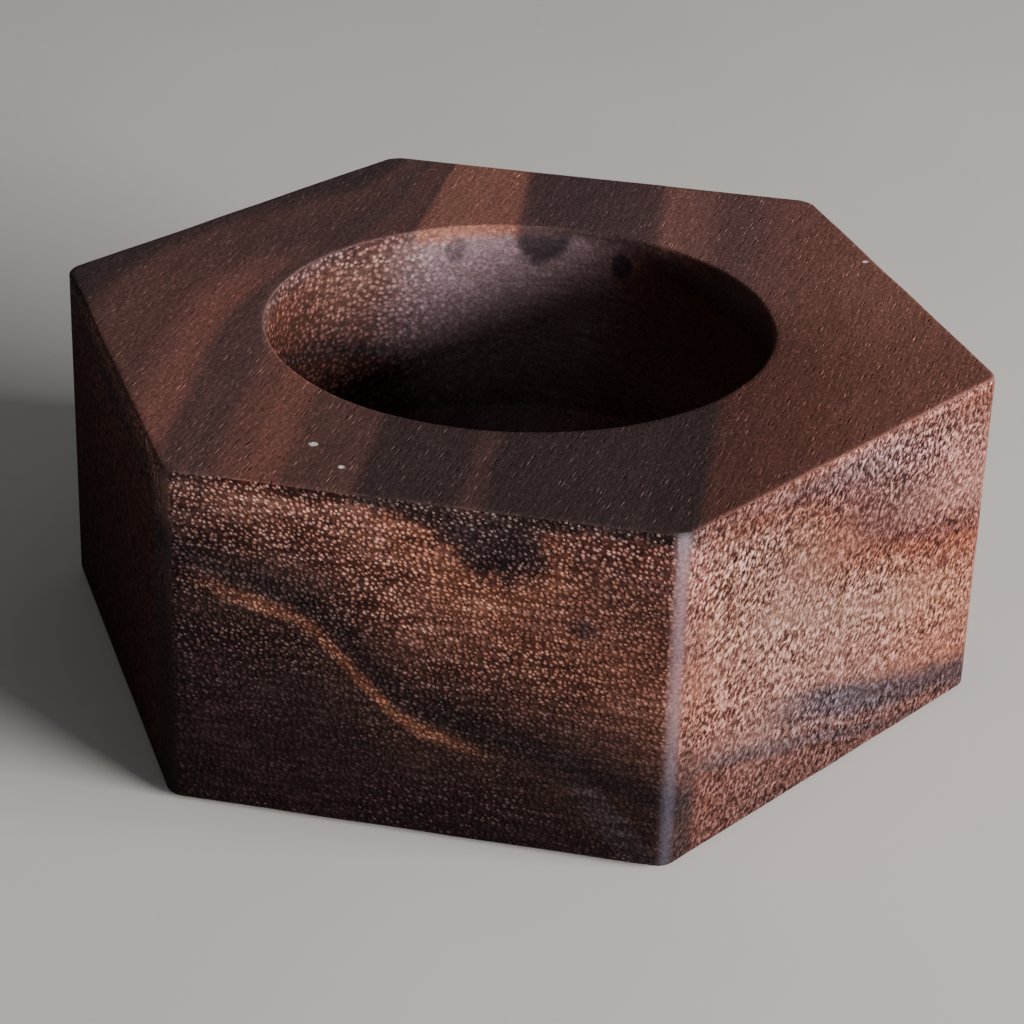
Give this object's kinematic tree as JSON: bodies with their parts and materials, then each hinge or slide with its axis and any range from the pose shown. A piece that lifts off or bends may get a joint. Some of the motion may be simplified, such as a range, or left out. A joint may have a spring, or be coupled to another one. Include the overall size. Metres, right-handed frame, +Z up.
{
  "type": "hexagonal desk holder",
  "caption": "Dark walnut hexagonal block with a round blind bore in its top for a dip pen pot, on a thin cork base disc.",
  "frame": {"origin": "centre of the cork disc's underside, which is the face that the holder stands on", "axes": "+Z up out of the bore's mouth, X from corner to corner of the hexagon, Y from flat to flat and along the wood's grain"},
  "size_m": [0.0746, 0.065, 0.0275],
  "materials": {
    "walnut": "oiled, low satin sheen, figured dark walnut",
    "cork": "fine agglomerated cork, matte"
  },
  "bodies": {
    "root": {"hex_block": "walnut", "base_pad": "cork"}
  },
  "joints": []
}
